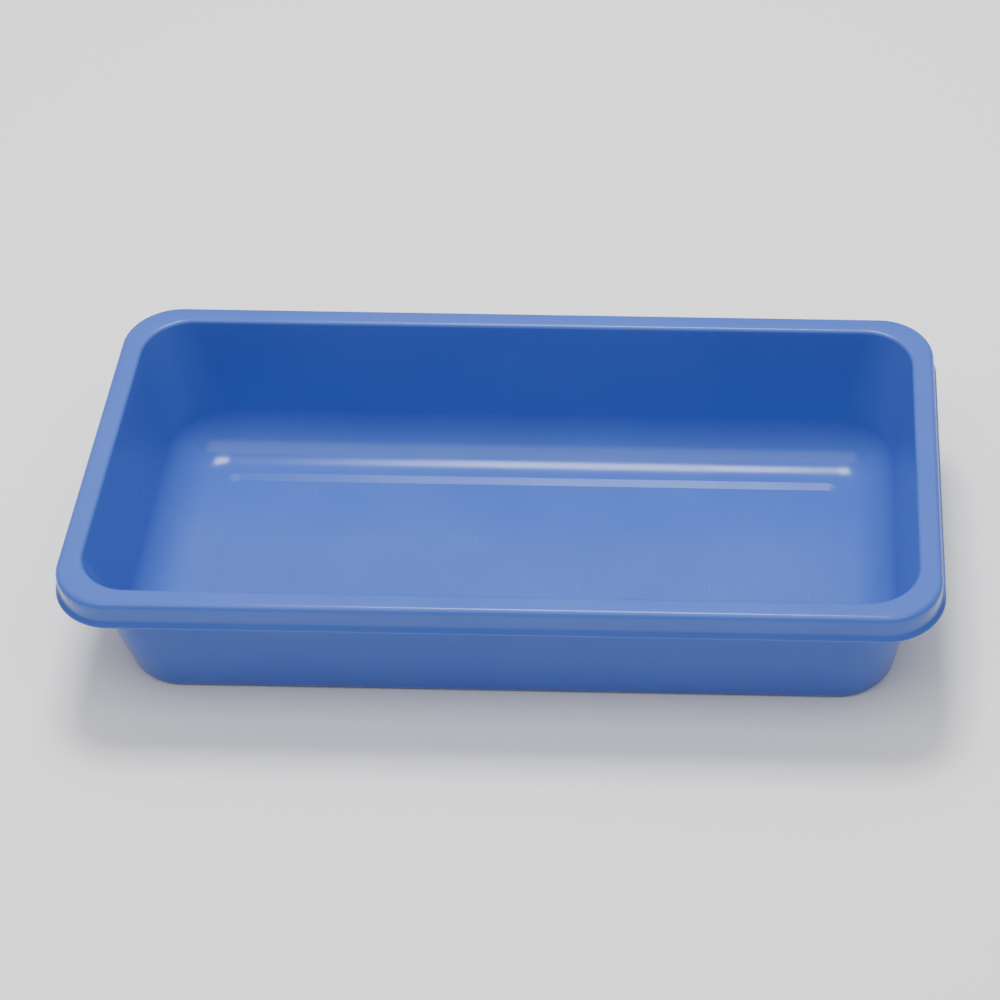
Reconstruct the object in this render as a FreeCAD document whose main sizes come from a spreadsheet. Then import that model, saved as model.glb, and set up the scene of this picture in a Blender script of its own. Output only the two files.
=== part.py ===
# Mud pan: one blue plastic moulding that holds joint compound.
# Frame: X along the length, Y across the width, +Z up. The origin is the middle of
# the underside, on the surface that the pan stands on. Lengths are in millimetres.
import FreeCAD, Part
import math
import os
import Sketcher

NODE = "pan"

SIZES = {
    # overall size of the rim
    "rim_length": 400.0,
    "rim_width": 203.0,
    "rim_height": 76.5,
    "rim_corner": 26.5,
    # flat flange on top of the rim, and the skirt that turns down from it
    "flange_width": 10.6,
    "flange_thick": 2.4,
    "rim_round": 2.7,
    "skirt_height": 13.2,
    "skirt_thick": 2.0,
    # lip at the foot of the skirt: a narrow upright edge below a sloping face
    "lip_flare": 1.8,
    "lip_edge": 1.0,
    "lip_slope": 1.8,
    "lip_root": 0.8,
    "lip_round": 0.4,
    # mouth of the hollow, its drafted walls and the cove round its floor
    "mouth_corner": 23.5,
    "mouth_round": 2.0,
    "wall_thick": 2.0,
    "wall_inset": 10.4,
    "floor_thick": 3.2,
    "floor_corner": 25.0,
    "cove_radius": 24.5,
    "base_round": 5.0,
    # shallow panel sunk in the floor, with a sloping edge
    "panel_inset": 32.6,
    "panel_slope": 4.8,
    "panel_depth": 1.0,
    "panel_corner": 3.5,
    "panel_round": 3.0,
    # groove under the cove, which leaves a standing ring and keeps the walls even
    "ring_width": 6.0,
    "groove_depth": 6.0,
    "groove_roof": 1.8,
    "groove_mouth": 12.0,
    # gussets under the flange, which stop nested pans from jamming
    "gusset_thick": 2.0,
    "gusset_drop": 8.0,
    "gusset_pitch": 90.0,
    # gate mark under the middle of the base
    "gate_radius": 4.0,
    "gate_sink": 0.4,
}

TOUCH = 0.01
LOOP_TOUCH = 0.05


def make_sheet(doc):
    """Put every driving dimension in a spreadsheet cell with its name as alias."""
    sheet = doc.addObject("Spreadsheet::Sheet", "sizes")
    for row, (name, value) in enumerate(SIZES.items(), start=1):
        sheet.set(f"A{row}", name)
        sheet.set(f"B{row}", str(value))
        sheet.setAlias(f"B{row}", name)
    doc.recompute()
    return sheet


def base_plane(body):
    for feature in body.Origin.OriginFeatures:
        if feature.Role == "XY_Plane":
            return feature
    raise RuntimeError("the body has no XY plane")


def sketch_at(body, name, height):
    """A sketch parallel to the base plane; height is an expression."""
    sketch = body.newObject("Sketcher::SketchObject", name)
    sketch.AttachmentSupport = [(base_plane(body), "")]
    sketch.MapMode = "FlatFace"
    sketch.setExpression("AttachmentOffset.Base.z", height)
    return sketch


def add_rounded_rectangle(sketch, length, width, corner, tag=""):
    """Centred rectangle with round corners; the three sizes are expressions."""
    half_x, half_y, radius = 50.0, 30.0, 5.0
    line = Part.LineSegment
    point = FreeCAD.Vector
    first = sketch.GeometryCount
    flat_x = half_x - radius
    flat_y = half_y - radius
    sketch.addGeometry(line(point(-flat_x, -half_y, 0), point(flat_x, -half_y, 0)))
    sketch.addGeometry(line(point(half_x, -flat_y, 0), point(half_x, flat_y, 0)))
    sketch.addGeometry(line(point(flat_x, half_y, 0), point(-flat_x, half_y, 0)))
    sketch.addGeometry(line(point(-half_x, flat_y, 0), point(-half_x, -flat_y, 0)))
    quarter = math.pi / 2
    centres = ((flat_x, -flat_y), (flat_x, flat_y), (-flat_x, flat_y), (-flat_x, -flat_y))
    for turn, (x, y) in enumerate(centres):
        circle = Part.Circle(point(x, y, 0), point(0, 0, 1), radius)
        start = (turn - 1) * quarter
        sketch.addGeometry(Part.ArcOfCircle(circle, start, start + quarter))
    arcs = [first + 4 + turn for turn in range(4)]
    for side, arc in enumerate(arcs):
        following = first + (side + 1) % 4
        sketch.addConstraint(Sketcher.Constraint("Tangent", first + side, 2, arc, 1))
        sketch.addConstraint(Sketcher.Constraint("Tangent", arc, 2, following, 1))
    for side in (first, first + 2):
        sketch.addConstraint(Sketcher.Constraint("Horizontal", side))
        sketch.addConstraint(Sketcher.Constraint("Vertical", side + 1))
    for arc in arcs[1:]:
        sketch.addConstraint(Sketcher.Constraint("Equal", arcs[0], arc))
    sketch.addConstraint(Sketcher.Constraint("Symmetric", arcs[1], 3, arcs[3], 3, -1, 1))
    add_size(sketch, tag + "width", width, "DistanceY", first, 1, first + 2, 1, 2 * half_y)
    add_size(sketch, tag + "length", length, "DistanceX", first + 3, 1, first + 1, 1, 2 * half_x)
    add_size(sketch, tag + "corner", corner, "Radius", arcs[0], radius)


def add_size(sketch, name, expression, *constraint):
    """A named dimension of the sketch, bound to the spreadsheet."""
    index = sketch.addConstraint(Sketcher.Constraint(*constraint))
    sketch.renameConstraint(index, name)
    sketch.setExpression(f"Constraints.{name}", expression)


def add_outline(sketch, inset, corner, tag=""):
    """The rim's outline moved in by inset, with its own corner radius."""
    length = f"sizes.rim_length - 2 * ({inset})"
    width = f"sizes.rim_width - 2 * ({inset})"
    add_rounded_rectangle(sketch, length, width, corner, tag)


def outline(body, name, height, inset, corner):
    sketch = sketch_at(body, name, height)
    add_outline(sketch, inset, corner)
    return sketch


def extrude(body, kind, name, sketch, length, upward=True):
    """Pad or Pocket of a sketch, up or down by an expression."""
    feature = body.newObject(f"PartDesign::{kind}", name)
    feature.Profile = sketch
    feature.Reversed = upward != (kind == "Pad")
    feature.setExpression("Length", length)
    return feature


def loft(body, kind, name, low, high):
    feature = body.newObject(f"PartDesign::{kind}", name)
    feature.Profile = low
    feature.Sections = [high]
    feature.Ruled = True
    return feature


def outline_distance(point, length, width, corner):
    """How far a point lies outside a centred rounded rectangle; inside is negative."""
    over_x = abs(point.x) - (length / 2 - corner)
    over_y = abs(point.y) - (width / 2 - corner)
    outside = FreeCAD.Vector(max(over_x, 0), max(over_y, 0), 0).Length
    return outside + min(max(over_x, over_y), 0) - corner


def loop_edges(sheet, feature, height, inset, corner):
    """Names of a feature's edges on one level loop: the rim's outline moved in."""
    length = sheet.rim_length - 2 * inset
    width = sheet.rim_width - 2 * inset
    names = []
    for index, edge in enumerate(feature.Shape.Edges, start=1):
        middle = edge.valueAt((edge.FirstParameter + edge.LastParameter) / 2)
        level = abs(middle.z - height) < TOUCH
        if level and abs(outline_distance(middle, length, width, corner)) < LOOP_TOUCH:
            names.append(f"Edge{index}")
    if len(names) < 8:
        raise RuntimeError(f"{feature.Name}: only {len(names)} edges at height {height}")
    return names


def soften(body, name, feature, edges, radius):
    """Round a list of edges by a spreadsheet radius."""
    fillet = body.newObject("PartDesign::Fillet", name)
    fillet.Base = (feature, edges)
    fillet.setExpression("Radius", radius)
    body.Document.recompute()
    return fillet


def make_rim(doc, sheet, body):
    """Flange and skirt as one block with a round shoulder, and the lip round its foot."""
    skirt_low = "sizes.rim_height - sizes.skirt_height"
    flared_corner = "sizes.rim_corner + sizes.lip_flare"
    block = extrude(body, "Pad", "rim_block",
                    outline(body, "rim_outline", skirt_low, "0", "sizes.rim_corner"),
                    "sizes.skirt_height")
    doc.recompute()
    edges = loop_edges(sheet, block, sheet.rim_height, 0, sheet.rim_corner)
    soften(body, "rim_shoulder", block, edges, "sizes.rim_round")

    extrude(body, "Pad", "lip",
            outline(body, "lip_outline", skirt_low, "-sizes.lip_flare", flared_corner),
            "sizes.lip_edge")
    nose_height = skirt_low + " + sizes.lip_edge"
    slope = loft(body, "AdditiveLoft", "lip_face",
                 outline(body, "nose_outline", nose_height, "-sizes.lip_flare", flared_corner),
                 outline(body, "root_outline", nose_height + " + sizes.lip_slope",
                         "0", "sizes.rim_corner"))
    doc.recompute()
    low = sheet.rim_height - sheet.skirt_height
    nose = low + sheet.lip_edge
    edges = loop_edges(sheet, slope, nose + sheet.lip_slope, 0, sheet.rim_corner)
    root = soften(body, "lip_blend", slope, edges, "sizes.lip_root")
    flared = sheet.rim_corner + sheet.lip_flare
    edges = loop_edges(sheet, root, nose, -sheet.lip_flare, flared)
    edges += loop_edges(sheet, root, low, -sheet.lip_flare, flared)
    soften(body, "lip_nose", root, edges, "sizes.lip_round")

    extrude(body, "Pocket", "under_flange",
            outline(body, "skirt_inside", "sizes.rim_height - sizes.flange_thick",
                    "sizes.skirt_thick", "sizes.rim_corner - sizes.skirt_thick"),
            "sizes.skirt_height", upward=False)


def add_rectangle(sketch, length, width, off_x, off_y):
    """Plain rectangle whose sizes and middle are expressions."""
    point = FreeCAD.Vector
    corners = [point(0, 0, 0), point(20, 0, 0), point(20, 10, 0), point(0, 10, 0)]
    for side in range(4):
        sketch.addGeometry(Part.LineSegment(corners[side], corners[(side + 1) % 4]))
    for side in range(4):
        following = (side + 1) % 4
        sketch.addConstraint(Sketcher.Constraint("Coincident", side, 2, following, 1))
    for side in (0, 2):
        sketch.addConstraint(Sketcher.Constraint("Horizontal", side))
        sketch.addConstraint(Sketcher.Constraint("Vertical", side + 1))
    add_size(sketch, "length", length, "DistanceX", 0, 1, 0, 2, 20)
    add_size(sketch, "width", width, "DistanceY", 1, 1, 1, 2, 10)
    add_size(sketch, "left", f"({length}) / 2 - ({off_x})", "DistanceX", 0, 1, -1, 1, 5)
    add_size(sketch, "low", f"({width}) / 2 - ({off_y})", "DistanceY", 0, 1, -1, 1, 5)


def make_gussets(body, name, length, width, off_x, off_y, axis, count):
    """Strips under the flange; the hollow is cut from them later, leaving their ends."""
    sketch = sketch_at(body, name + "_outline", "sizes.rim_height - sizes.flange_thick")
    add_rectangle(sketch, length, width, off_x, off_y)
    strip = extrude(body, "Pad", name, sketch, "sizes.gusset_drop", upward=False)
    row = body.newObject("PartDesign::LinearPattern", name + "_row")
    row.Originals = [strip]
    row.Direction = (sketch, [axis])
    row.Occurrences = count
    row.setExpression("Length", f"{count - 1} * sizes.gusset_pitch")
    body.Tip = row
    return row


BASE_INSET = "sizes.flange_width - sizes.wall_thick + sizes.wall_inset"
BASE_CORNER = "sizes.floor_corner + sizes.wall_thick"


def make_wall(body):
    """Solid outside of the drafted body, up into the flange."""
    low = outline(body, "base_outline", "0", BASE_INSET, BASE_CORNER)
    high = outline(body, "neck_outline", "sizes.rim_height - sizes.flange_thick / 2",
                   "sizes.flange_width - sizes.wall_thick",
                   "sizes.mouth_corner + sizes.wall_thick")
    loft(body, "AdditiveLoft", "wall", low, high)


def make_groove(body):
    """Tapered groove under the cove, between the standing ring and the base."""
    inset = BASE_INSET + " + sizes.ring_width"
    corner = BASE_CORNER + " - sizes.ring_width"
    sections = []
    for name, height, gap in (("groove_low", "0", "sizes.groove_mouth"),
                              ("groove_high", "sizes.groove_depth", "sizes.groove_roof")):
        sketch = sketch_at(body, name, height)
        add_outline(sketch, inset, corner, "ring_")
        add_outline(sketch, f"{inset} + {gap}", f"{corner} - {gap}", "core_")
        sections.append(sketch)
    loft(body, "SubtractiveLoft", "groove", *sections)


def make_hollow(doc, sheet, body):
    """Drafted hollow, the large cove round its floor and the small round outside."""
    low = outline(body, "floor_outline", "sizes.floor_thick",
                  "sizes.flange_width + sizes.wall_inset", "sizes.floor_corner")
    high = outline(body, "mouth_outline", "sizes.rim_height",
                   "sizes.flange_width", "sizes.mouth_corner")
    hollow = loft(body, "SubtractiveLoft", "hollow", low, high)
    doc.recompute()
    inset = sheet.flange_width + sheet.wall_inset
    edges = loop_edges(sheet, hollow, sheet.floor_thick, inset, sheet.floor_corner)
    cove = soften(body, "floor_cove", hollow, edges, "sizes.cove_radius")
    outer_corner = sheet.floor_corner + sheet.wall_thick
    edges = loop_edges(sheet, cove, 0, inset - sheet.wall_thick, outer_corner)
    base = soften(body, "base_edge", cove, edges, "sizes.base_round")
    edges = loop_edges(sheet, base, sheet.rim_height, sheet.flange_width, sheet.mouth_corner)
    soften(body, "mouth_edge", base, edges, "sizes.mouth_round")


def make_panel(doc, sheet, body):
    """Shallow panel sunk in the floor, with its sloping edge softened."""
    edge_inset = "sizes.flange_width + sizes.panel_inset"
    low = outline(body, "panel_floor", "sizes.floor_thick - sizes.panel_depth",
                  edge_inset + " + sizes.panel_slope", "sizes.panel_corner")
    high = outline(body, "panel_edge", "sizes.floor_thick",
                   edge_inset, "sizes.panel_corner + sizes.panel_slope")
    panel = loft(body, "SubtractiveLoft", "panel", low, high)
    doc.recompute()
    inset = sheet.flange_width + sheet.panel_inset
    edges = loop_edges(sheet, panel, sheet.floor_thick, inset,
                       sheet.panel_corner + sheet.panel_slope)
    edges += loop_edges(sheet, panel, sheet.floor_thick - sheet.panel_depth,
                        inset + sheet.panel_slope, sheet.panel_corner)
    soften(body, "panel_step", panel, edges, "sizes.panel_round")


def make_gate_mark(body):
    """Small round dimple where the plastic entered, under the middle of the base."""
    sketch = sketch_at(body, "gate_outline", "0")
    circle = Part.Circle(FreeCAD.Vector(0, 0, 0), FreeCAD.Vector(0, 0, 1), 4)
    sketch.addGeometry(circle)
    sketch.addConstraint(Sketcher.Constraint("Coincident", 0, 3, -1, 1))
    add_size(sketch, "radius", "sizes.gate_radius", "Radius", 0, 4)
    extrude(body, "Pocket", "gate_mark", sketch, "sizes.gate_sink", upward=True)


def make_pan(doc, sheet):
    body = doc.addObject("PartDesign::Body", NODE)
    body.Label = NODE
    make_rim(doc, sheet, body)
    across = "sizes.rim_width - 2 * sizes.skirt_thick + 1"
    along = "sizes.rim_length - 2 * sizes.skirt_thick + 1"
    make_gussets(body, "cross_gussets", "sizes.gusset_thick", across,
                 "-1.5 * sizes.gusset_pitch", "0", "H_Axis", 4)
    make_gussets(body, "end_gussets", along, "sizes.gusset_thick",
                 "0", "-0.5 * sizes.gusset_pitch", "V_Axis", 2)
    make_wall(body)
    make_hollow(doc, sheet, body)
    make_groove(body)
    make_panel(doc, sheet, body)
    make_gate_mark(body)
    body.Placement = FreeCAD.Placement()
    return body


def check(doc, bodies):
    for item in doc.Objects:
        if "Invalid" in item.State or "Error" in item.State:
            raise RuntimeError(f"{item.Name} failed: {item.State}")
    for body in bodies:
        if body.Shape.isNull() or not body.Shape.isValid():
            raise RuntimeError(f"{body.Label} has no valid shape")


def main():
    doc = FreeCAD.newDocument("mud_pan")
    sheet = make_sheet(doc)
    bodies = [make_pan(doc, sheet)]
    doc.recompute()
    check(doc, bodies)
    os.makedirs("parts", exist_ok=True)
    for body in bodies:
        body.Shape.exportStep(f"parts/{body.Label}.step")
        box = body.Shape.BoundBox
        print(body.Label, len(body.Shape.Solids), "solid", round(body.Shape.Volume), "mm3",
              round(box.XLength, 2), round(box.YLength, 2), round(box.ZLength, 2))


main()
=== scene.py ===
import bpy
import math
from mathutils import Matrix, Vector


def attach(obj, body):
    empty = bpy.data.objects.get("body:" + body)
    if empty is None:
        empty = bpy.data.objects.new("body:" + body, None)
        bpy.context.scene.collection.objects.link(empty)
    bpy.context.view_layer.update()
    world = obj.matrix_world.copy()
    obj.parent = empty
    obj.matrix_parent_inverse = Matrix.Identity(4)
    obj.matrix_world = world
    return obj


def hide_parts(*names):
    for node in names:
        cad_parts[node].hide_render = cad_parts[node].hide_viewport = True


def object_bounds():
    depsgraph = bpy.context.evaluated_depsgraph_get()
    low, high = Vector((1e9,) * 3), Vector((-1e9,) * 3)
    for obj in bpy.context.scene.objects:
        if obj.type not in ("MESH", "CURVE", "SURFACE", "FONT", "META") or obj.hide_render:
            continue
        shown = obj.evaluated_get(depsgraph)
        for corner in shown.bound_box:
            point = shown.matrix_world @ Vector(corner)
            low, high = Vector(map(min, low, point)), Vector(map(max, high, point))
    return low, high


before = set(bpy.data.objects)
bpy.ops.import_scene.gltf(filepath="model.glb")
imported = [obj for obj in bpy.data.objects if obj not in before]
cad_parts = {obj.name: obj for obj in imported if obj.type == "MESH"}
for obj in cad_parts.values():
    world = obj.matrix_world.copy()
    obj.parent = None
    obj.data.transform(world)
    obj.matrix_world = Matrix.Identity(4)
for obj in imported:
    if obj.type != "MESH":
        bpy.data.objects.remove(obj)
cad_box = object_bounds()

MM = 0.001

# Sizes of the moulding. Its overall size comes from the CAD box.
RIM_CORNER = 26.5 * MM
RIM_ROUND = 2.7 * MM
FLANGE_WIDTH = 10.6 * MM
FLANGE_THICK = 2.4 * MM
SKIRT_HEIGHT = 13.2 * MM
SKIRT_THICK = 2.0 * MM
LIP_FLARE = 1.8 * MM
LIP_EDGE = 1.0 * MM
LIP_SLOPE = 1.8 * MM
LIP_ROOT = 0.8 * MM
SMALL_ROUND = 0.4 * MM
MOUTH_CORNER = 23.5 * MM
MOUTH_ROUND = 2.0 * MM
WALL_THICK = 2.0 * MM
WALL_INSET = 10.4 * MM
FLOOR_THICK = 3.2 * MM
FLOOR_CORNER = 25.0 * MM
COVE_RADIUS = 24.5 * MM
BASE_ROUND = 5.0 * MM
PANEL_INSET = 32.6 * MM
PANEL_SLOPE = 4.8 * MM
PANEL_DEPTH = 1.0 * MM
PANEL_CORNER = 3.5 * MM
PANEL_ROUND = 3.0 * MM
RING_WIDTH = 6.0 * MM
GROOVE_DEPTH = 6.0 * MM
GROOVE_ROOF = 1.8 * MM
GROOVE_MOUTH = 12.0 * MM
GUSSET_THICK = 2.0 * MM
GUSSET_DROP = 8.0 * MM
GUSSET_PITCH = 90.0 * MM
GATE_RADIUS = 4.0 * MM
GATE_SINK = 0.4 * MM

# Flat runs beyond the last bend of a section, before its middle is closed.
FLOOR_RUN = 8.0 * MM
BASE_RUN = 4.0 * MM
GATE_RUN = 1.0 * MM

# Camera: looks down on the near long side. The offset is where it sees the middle of the
# rim: to its right, up and ahead.
CAMERA_PITCH = math.radians(45.05)
CAMERA_TURN = math.radians(-1.425)
CAMERA_OFFSET = Vector((-0.1065, 0.0219, 1.1764))
CAMERA_LENS_MM = 90.0
SENSOR_WIDTH_MM = 36.0
CAMERA_SHIFT = -0.2396

# Colours of the plastic, where it is darkest and where it is rubbed pale.
DEEP_BLUE = (0.055, 0.118, 0.48, 1)
PALE_BLUE = (0.082, 0.158, 0.54, 1)

HIGHLIGHT_TINT = (0.7, 0.82, 1, 1)
FLOOR_WHITE = (0.9, 0.9, 0.9, 1)
WORLD_STRENGTH = 0.34

# Points of an outline: round one corner, along a long side and along a short side.
CORNER_STEPS = 20
LONG_STEPS = 28
SHORT_STEPS = 14


def rim_size():
    """Length and width over the rim's straight skirt, and its height."""
    low, high = cad_box
    length = high[0] - low[0] - 2 * LIP_FLARE
    width = high[1] - low[1] - 2 * LIP_FLARE
    return length, width, high[2]


def straight(first, last, steps):
    """Stations between two others, both left out."""
    between = []
    for step in range(1, steps):
        part = step / steps
        between.append(tuple(a + (b - a) * part for a, b in zip(first, last)))
    return between


def bend(before, point, after, radius, steps=6):
    """Round a corner of the section with an arc; the outline's corners stay parallel.

    A station is an inset from the rim's edge, a height and the outline's corner radius.
    """
    flat_before = Vector(before[:2]) - Vector(point[:2])
    flat_after = Vector(after[:2]) - Vector(point[:2])
    half = flat_before.angle(flat_after) / 2
    reach = radius / math.tan(half)
    start = Vector(point[:2]) + flat_before.normalized() * reach
    middle = (flat_before.normalized() + flat_after.normalized()).normalized()
    centre = Vector(point[:2]) + middle * radius / math.sin(half)
    spoke = start - centre
    sweep = math.pi - 2 * half
    if flat_before.x * flat_after.y - flat_before.y * flat_after.x > 0:
        sweep = -sweep
    stations = []
    for step in range(steps + 1):
        turn = Matrix.Rotation(sweep * step / steps, 2) @ spoke
        stations.append((centre.x + turn.x, centre.y + turn.y,
                         point[2] + point[0] - centre.x - turn.x))
    return stations


def inside_section(top):
    """From the floor's middle, over the panel's edge and the cove, up to the flange."""
    step = FLANGE_WIDTH + PANEL_INSET
    low = FLOOR_THICK - PANEL_DEPTH
    middle = (step + PANEL_SLOPE + FLOOR_RUN, low, PANEL_CORNER)
    panel_low = (step + PANEL_SLOPE, low, PANEL_CORNER)
    panel_high = (step, FLOOR_THICK, PANEL_CORNER + PANEL_SLOPE)
    floor = (FLANGE_WIDTH + WALL_INSET, FLOOR_THICK, FLOOR_CORNER)
    mouth = (FLANGE_WIDTH, top, MOUTH_CORNER)
    flange = (0, top, RIM_CORNER)
    stations = [middle]
    stations += bend(middle, panel_low, panel_high, PANEL_ROUND)
    stations += bend(panel_low, panel_high, floor, PANEL_ROUND)
    cove = bend(panel_high, floor, mouth, COVE_RADIUS, 24)
    edge = bend(floor, mouth, flange, MOUTH_ROUND, 8)
    return stations + cove + straight(cove[-1], edge[0], 8) + edge


def rim_section(top):
    """Round shoulder, skirt and lip, back to the skirt's inner face."""
    low = top - SKIRT_HEIGHT
    nose = low + LIP_EDGE
    flared = RIM_CORNER + LIP_FLARE
    flange = (FLANGE_WIDTH, top, RIM_CORNER - FLANGE_WIDTH)
    shoulder = (0, top, RIM_CORNER)
    lip_root = (0, nose + LIP_SLOPE, RIM_CORNER)
    lip_nose = (-LIP_FLARE, nose, flared)
    lip_foot = (-LIP_FLARE, low, flared)
    inner = (SKIRT_THICK, low, RIM_CORNER - SKIRT_THICK)
    root = (SKIRT_THICK, top - FLANGE_THICK, RIM_CORNER - SKIRT_THICK)
    stations = bend(flange, shoulder, lip_root, RIM_ROUND, 10)
    blend = bend(shoulder, lip_root, lip_nose, LIP_ROOT)
    stations += straight(stations[-1], blend[0], 4) + blend
    stations += bend(lip_root, lip_nose, lip_foot, SMALL_ROUND, 4)
    stations += bend(lip_nose, lip_foot, inner, SMALL_ROUND, 4)
    return stations + bend(lip_foot, inner, root, SMALL_ROUND / 2, 3)


def outside_section(top):
    """Under the flange, down the wall and round its foot, and in under the base."""
    under = top - FLANGE_THICK
    wall = FLANGE_WIDTH - WALL_THICK
    foot_inset = wall + WALL_INSET
    foot_corner = FLOOR_CORNER + WALL_THICK
    inner = (SKIRT_THICK, top - SKIRT_HEIGHT, RIM_CORNER - SKIRT_THICK)
    root = (SKIRT_THICK, under, RIM_CORNER - SKIRT_THICK)
    neck = (wall, under, MOUTH_CORNER + WALL_THICK)
    foot = (foot_inset, 0, foot_corner)

    def below(gap, height):
        return foot_inset + gap, height, foot_corner - gap

    ring = below(RING_WIDTH, 0)
    ring_roof = below(RING_WIDTH, GROOVE_DEPTH)
    core_roof = below(RING_WIDTH + GROOVE_ROOF, GROOVE_DEPTH)
    core = below(RING_WIDTH + GROOVE_MOUTH, 0)
    middle = below(RING_WIDTH + GROOVE_MOUTH + BASE_RUN, 0)
    stations = bend(inner, root, neck, SMALL_ROUND, 4)
    stations += bend(root, neck, foot, SMALL_ROUND, 4)
    base = bend(neck, foot, ring, BASE_ROUND, 10)
    stations += straight(stations[-1], base[0], 8) + base
    stations += bend(foot, ring, ring_roof, SMALL_ROUND, 4)
    stations += bend(ring, ring_roof, core_roof, SMALL_ROUND, 4)
    stations += bend(ring_roof, core_roof, core, SMALL_ROUND, 4)
    stations += bend(core_roof, core, middle, SMALL_ROUND, 4)
    return stations + [middle]


def outline(inset, height, corner):
    """Points of the rounded rectangle that lies inset from the rim's edge."""
    length, width, top = rim_size()
    half_x = length / 2 - inset - corner
    half_y = width / 2 - inset - corner
    points = []
    for turn, (sign_x, sign_y) in enumerate(((1, -1), (1, 1), (-1, 1), (-1, -1))):
        for step in range(CORNER_STEPS):
            angle = math.radians((turn - 1) * 90 + 90 * step / CORNER_STEPS)
            points.append((sign_x * half_x + corner * math.cos(angle),
                           sign_y * half_y + corner * math.sin(angle)))
        angle = math.radians(turn * 90)
        start = (sign_x * half_x + corner * math.cos(angle),
                 sign_y * half_y + corner * math.sin(angle))
        steps = SHORT_STEPS if turn % 2 == 0 else LONG_STEPS
        run = 2 * (half_y if turn % 2 == 0 else half_x)
        for step in range(steps):
            ahead = run * step / steps
            points.append((start[0] - ahead * math.sin(angle), start[1] + ahead * math.cos(angle)))
    return [(x, y, height) for x, y in points]


def circle_like(ring, radius, height):
    """Circle whose points lie in the same directions as a ring's points."""
    points = []
    for x, y, _ in ring:
        reach = math.hypot(x, y)
        points.append((x * radius / reach, y * radius / reach, height))
    return points


def make_shell():
    """The moulding's skin: one ring of quads per station of the section."""
    top = rim_size()[2]
    stations = inside_section(top) + rim_section(top) + outside_section(top)
    rings = [outline(*station) for station in stations]
    for radius, height in ((GATE_RADIUS + GATE_RUN, 0), (GATE_RADIUS, 0),
                           (GATE_RADIUS - GATE_SINK, GATE_SINK)):
        rings.append(circle_like(rings[-1], radius, height))
    count = len(rings[0])
    points = [point for ring in rings for point in ring]
    faces = []
    for ring in range(len(rings) - 1):
        for step in range(count):
            following = (step + 1) % count
            low = ring * count
            faces.append((low + step, low + count + step,
                          low + count + following, low + following))
    faces.append(tuple(range(count)))
    last = (len(rings) - 1) * count
    faces.append(tuple(range(last, last + count))[::-1])
    return add_piece("pan_shell", points, faces)


def add_piece(name, points, faces):
    mesh = bpy.data.meshes.new(name)
    mesh.from_pydata(points, [], faces)
    mesh.validate()
    mesh.shade_smooth()
    piece = bpy.data.objects.new(name, mesh)
    bpy.context.collection.objects.link(piece)
    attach(piece, "root")
    return piece


def gusset_places(length, width):
    """Middle and outward direction of each gusset: four on a long side, two on an end."""
    places = []
    for side in (-1, 1):
        for step in (-1.5, -0.5, 0.5, 1.5):
            places.append((Vector((step * GUSSET_PITCH, side * width / 2)), Vector((0, side))))
        for step in (-0.5, 0.5):
            places.append((Vector((side * length / 2, step * GUSSET_PITCH)), Vector((side, 0))))
    return places


def make_gussets():
    """Small ribs between the skirt and the wall, with round lower edges."""
    length, width, top = rim_size()
    low = top - FLANGE_THICK - GUSSET_DROP
    high = top - FLANGE_THICK / 2
    half = GUSSET_THICK / 2
    profile = [(half, high)]
    for angle in (0, math.pi / 6, math.pi / 3, math.pi / 2):
        profile.append((half - SMALL_ROUND * (1 - math.cos(angle)),
                        low + SMALL_ROUND * (1 - math.sin(angle))))
    profile += [(-across, height) for across, height in reversed(profile)]
    count = len(profile)
    points = []
    faces = []
    for edge, outward in gusset_places(length, width):
        along = Vector((-outward.y, outward.x))
        first = len(points)
        for end in ("skirt", "wall"):
            for across, height in profile:
                inset = SKIRT_THICK / 2
                if end == "wall":
                    inset = FLANGE_WIDTH - WALL_THICK / 2 + WALL_INSET * (top - height) / top
                place = edge - outward * inset + along * across
                points.append((place.x, place.y, height))
        for step in range(count):
            following = (step + 1) % count
            faces.append((first + step, first + following,
                          first + count + following, first + count + step))
        faces.append(tuple(range(first, first + count))[::-1])
        faces.append(tuple(range(first + count, first + 2 * count)))
    return add_piece("gussets", points, faces)


def add_camera():
    pitch = math.pi / 2 - CAMERA_PITCH
    look = Matrix.Rotation(CAMERA_TURN, 3, "Z").transposed() @ Matrix.Rotation(pitch, 3, "X")
    back = look @ Vector((-CAMERA_OFFSET.x, -CAMERA_OFFSET.y, CAMERA_OFFSET.z))
    camera = bpy.data.cameras.new("camera")
    camera.lens = CAMERA_LENS_MM
    camera.sensor_width = SENSOR_WIDTH_MM
    camera.shift_x = CAMERA_SHIFT
    holder = bpy.data.objects.new("camera", camera)
    holder.matrix_world = Matrix.Translation(Vector((0, 0, rim_size()[2])) + back) @ look.to_4x4()
    bpy.context.collection.objects.link(holder)
    bpy.context.scene.camera = holder


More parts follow.
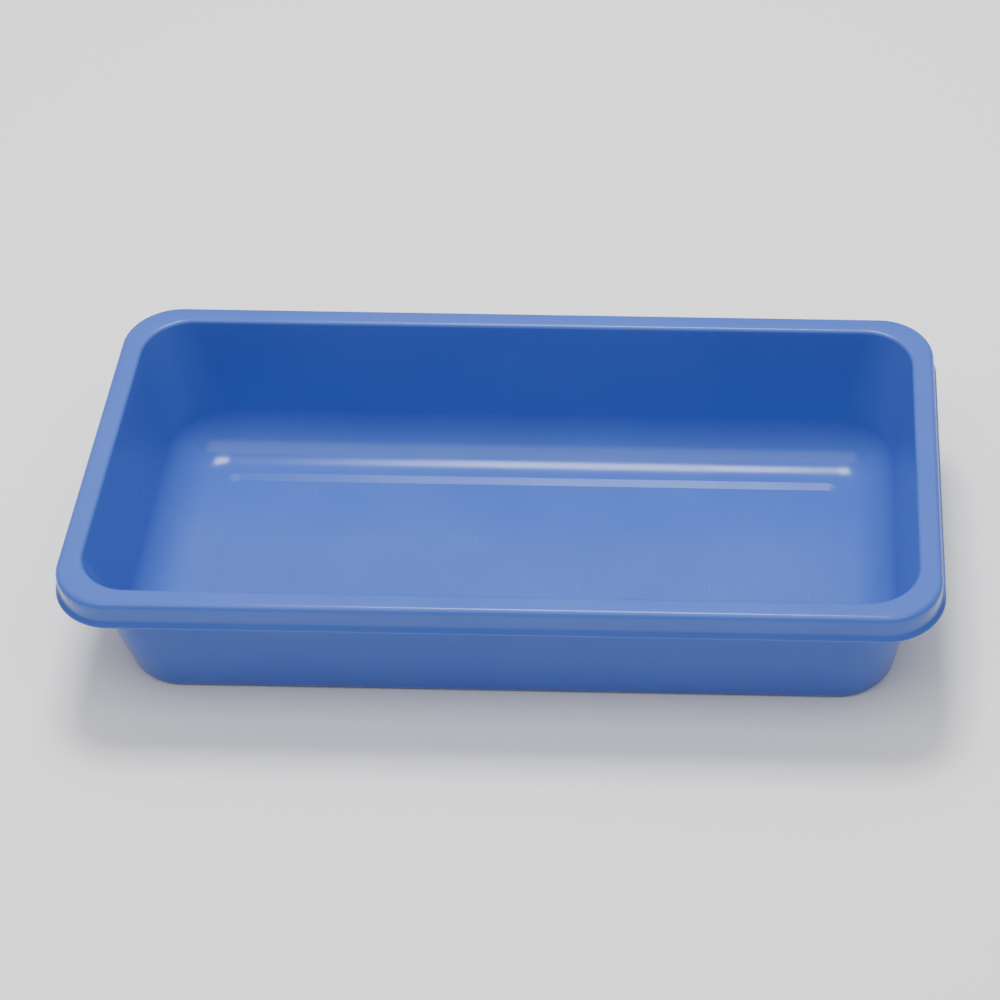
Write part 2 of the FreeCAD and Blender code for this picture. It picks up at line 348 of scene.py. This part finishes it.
class Nodes:
    """Short way to write a material's nodes."""

    def __init__(self, name):
        self.material = bpy.data.materials.new(name)
        self.material.use_nodes = True
        self.tree = self.material.node_tree
        self.shader = self.tree.nodes["Principled BSDF"]

    def add(self, kind, **settings):
        node = self.tree.nodes.new("ShaderNode" + kind)
        for key, value in settings.items():
            setattr(node, key, value)
        return node

    def link(self, source, target):
        self.tree.links.new(source, target)

    def noise(self, place, scale, detail, stretch=(1, 1, 1)):
        """Noise over the object's own coordinates, in cycles per metre."""
        mapping = self.add("Mapping")
        mapping.inputs["Scale"].default_value = stretch
        self.link(place, mapping.inputs["Vector"])
        node = self.add("TexNoise")
        node.inputs["Scale"].default_value = scale
        node.inputs["Detail"].default_value = detail
        self.link(mapping.outputs["Vector"], node.inputs["Vector"])
        return node.outputs["Fac"]

    def remap(self, value, low, high, to_low, to_high):
        node = self.add("MapRange", clamp=True)
        self.link(value, node.inputs["Value"])
        for name, number in (("From Min", low), ("From Max", high),
                             ("To Min", to_low), ("To Max", to_high)):
            node.inputs[name].default_value = number
        return node.outputs["Result"]

    def math(self, operation, first, second):
        node = self.add("Math", operation=operation)
        for socket, value in zip(node.inputs, (first, second)):
            if isinstance(value, (int, float)):
                socket.default_value = value
            else:
                self.link(value, socket)
        return node.outputs["Value"]


def plastic():
    """Glossy moulded plastic: faint flow lines, fine texture, scuffs where tools rub."""
    nodes = Nodes("blue_plastic")
    place = nodes.add("TexCoord").outputs["Object"]
    normal = nodes.add("SeparateXYZ")
    nodes.link(nodes.add("NewGeometry").outputs["Normal"], normal.inputs["Vector"])
    level = nodes.remap(normal.outputs["Z"], 0.6, 1.0, 0.25, 1.0)

    cloud = nodes.noise(place, 14, 3)
    grain = nodes.noise(place, 1500, 2)
    ripple = nodes.noise(place, 110, 3)
    scratches = []
    for turn, stretch in enumerate(((1, 26, 8), (22, 1, 8), (3, 18, 5))):
        lines = nodes.noise(place, 75 + 20 * turn, 2, stretch)
        scratches.append(nodes.remap(lines, 0.66, 0.74, 0.0, 1.0))
    scuffs = nodes.math("MAXIMUM", nodes.math("MAXIMUM", scratches[0], scratches[1]), scratches[2])
    patches = nodes.remap(nodes.noise(place, 30, 2), 0.5, 0.65, 0.0, 1.0)
    scuffs = nodes.math("MULTIPLY", nodes.math("MULTIPLY", scuffs, patches), level)

    mix = nodes.add("Mix", data_type="RGBA")
    mix.inputs["A"].default_value = DEEP_BLUE
    mix.inputs["B"].default_value = PALE_BLUE
    tint = nodes.math("ADD", nodes.remap(cloud, 0.35, 0.65, 0.0, 0.22),
                      nodes.math("MULTIPLY", scuffs, 0.3))
    nodes.link(tint, mix.inputs["Factor"])
    nodes.link(mix.outputs["Result"], nodes.shader.inputs["Base Color"])

    rough = nodes.math("ADD", nodes.remap(cloud, 0.3, 0.7, 0.17, 0.24),
                       nodes.remap(grain, 0.3, 0.7, -0.02, 0.03))
    rough = nodes.math("ADD", rough, nodes.math("MULTIPLY", scuffs, 0.16))
    nodes.link(rough, nodes.shader.inputs["Roughness"])

    height = nodes.math("ADD", nodes.math("MULTIPLY", grain, 0.35),
                        nodes.math("MULTIPLY", ripple, 1.2))
    height = nodes.math("SUBTRACT", height, nodes.math("MULTIPLY", scuffs, 0.6))
    bump = nodes.add("Bump")
    bump.inputs["Strength"].default_value = 0.4
    bump.inputs["Distance"].default_value = 0.02 * MM
    nodes.link(height, bump.inputs["Height"])
    nodes.link(bump.outputs["Normal"], nodes.shader.inputs["Normal"])
    nodes.shader.inputs["IOR"].default_value = 1.5
    nodes.shader.inputs["Specular Tint"].default_value = HIGHLIGHT_TINT
    nodes.shader.inputs["Specular IOR Level"].default_value = 0.3
    return nodes.material


def add_floor():
    """Matt pale floor, a hair below the base so that their faces do not coincide."""
    bpy.ops.mesh.primitive_plane_add(size=12, location=(0, 0, -0.1 * MM))
    floor = bpy.context.object
    floor.name = "floor"
    material = bpy.data.materials.new("floor")
    material.use_nodes = True
    shader = material.node_tree.nodes["Principled BSDF"]
    shader.inputs["Base Color"].default_value = FLOOR_WHITE
    shader.inputs["Roughness"].default_value = 0.9
    floor.data.materials.append(material)


def add_area(name, location, size, power):
    """Soft rectangular light, aimed at the middle of the base."""
    light = bpy.data.lights.new(name, "AREA")
    light.shape = "RECTANGLE"
    light.size, light.size_y = size
    light.energy = power
    holder = bpy.data.objects.new(name, light)
    holder.location = location
    holder.rotation_euler = (-Vector(location)).to_track_quat("-Z", "Y").to_euler()
    bpy.context.collection.objects.link(holder)


def add_world():
    world = bpy.data.worlds.new("studio")
    world.use_nodes = True
    background = world.node_tree.nodes["Background"]
    background.inputs["Color"].default_value = (1, 1, 1, 1)
    background.inputs["Strength"].default_value = WORLD_STRENGTH
    bpy.context.scene.world = world


add_camera()
add_floor()
blue = plastic()
shell = make_shell()
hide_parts("pan")
for piece in (shell, make_gussets()):
    piece.data.materials.append(blue)
add_area("top", (-0.06, 0.40, 1.5), (0.5, 0.4), 24)
add_area("back", (0, 1.1, 1.55), (2.4, 0.8), 5)
add_area("over", (0, -0.7, 2.1), (3.0, 1.2), 34)

add_world()
